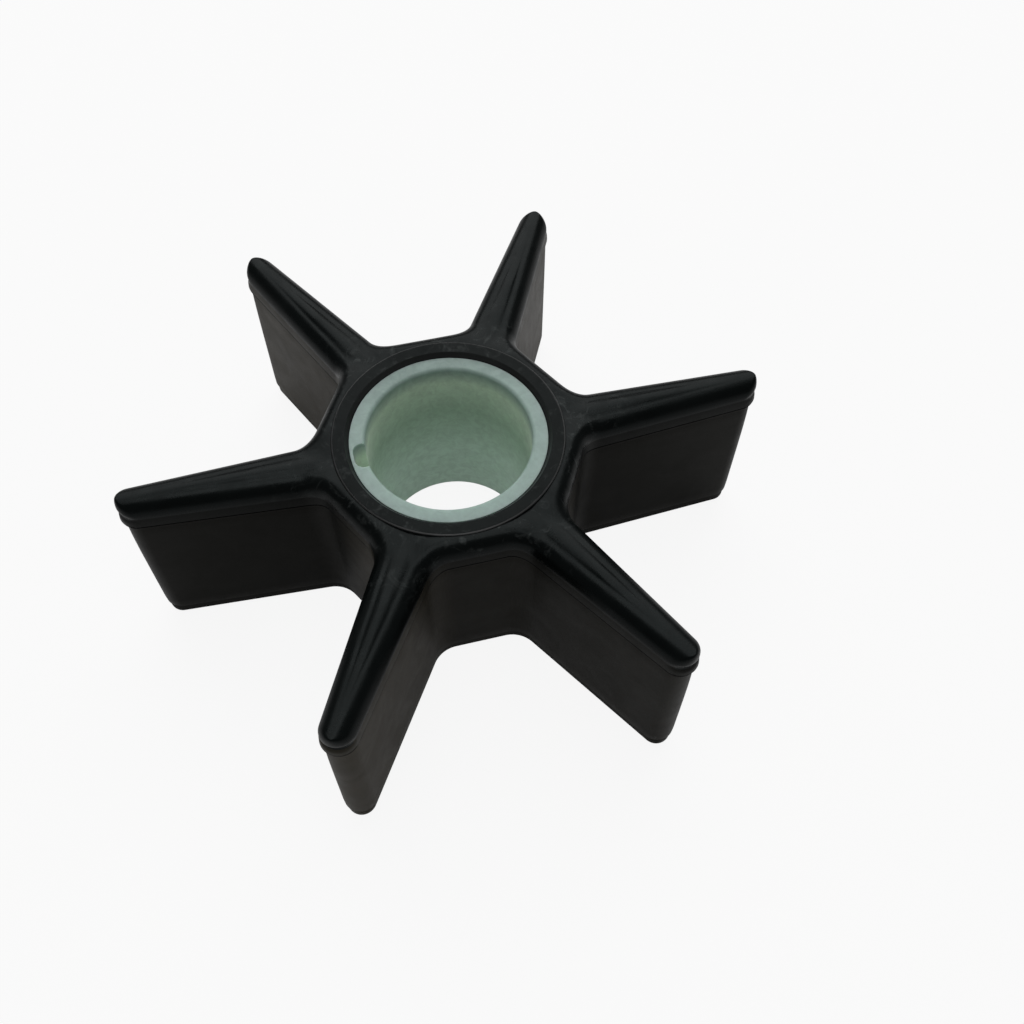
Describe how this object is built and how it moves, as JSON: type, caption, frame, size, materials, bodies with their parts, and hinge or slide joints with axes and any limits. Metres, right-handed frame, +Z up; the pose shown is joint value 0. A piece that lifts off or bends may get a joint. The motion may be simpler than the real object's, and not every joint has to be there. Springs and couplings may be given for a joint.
{
  "type": "flexible pump impeller",
  "caption": "Flexible rubber impeller with tapered radial vanes moulded round a keyed glass-fibre sleeve, for a water pump.",
  "frame": {"origin": "centre of the bore in the plane of the lower face", "axes": "+Z up the bore to the face with the raised ring, +X out along one vane, with the keyway on the opposite side"},
  "size_m": [0.0854, 0.0744, 0.0291],
  "materials": {
    "black_rubber": "satin",
    "glass_fibre": "satin"
  },
  "bodies": {
    "root": {"vane_body": "black_rubber", "hub_sleeve": "glass_fibre"}
  },
  "joints": []
}
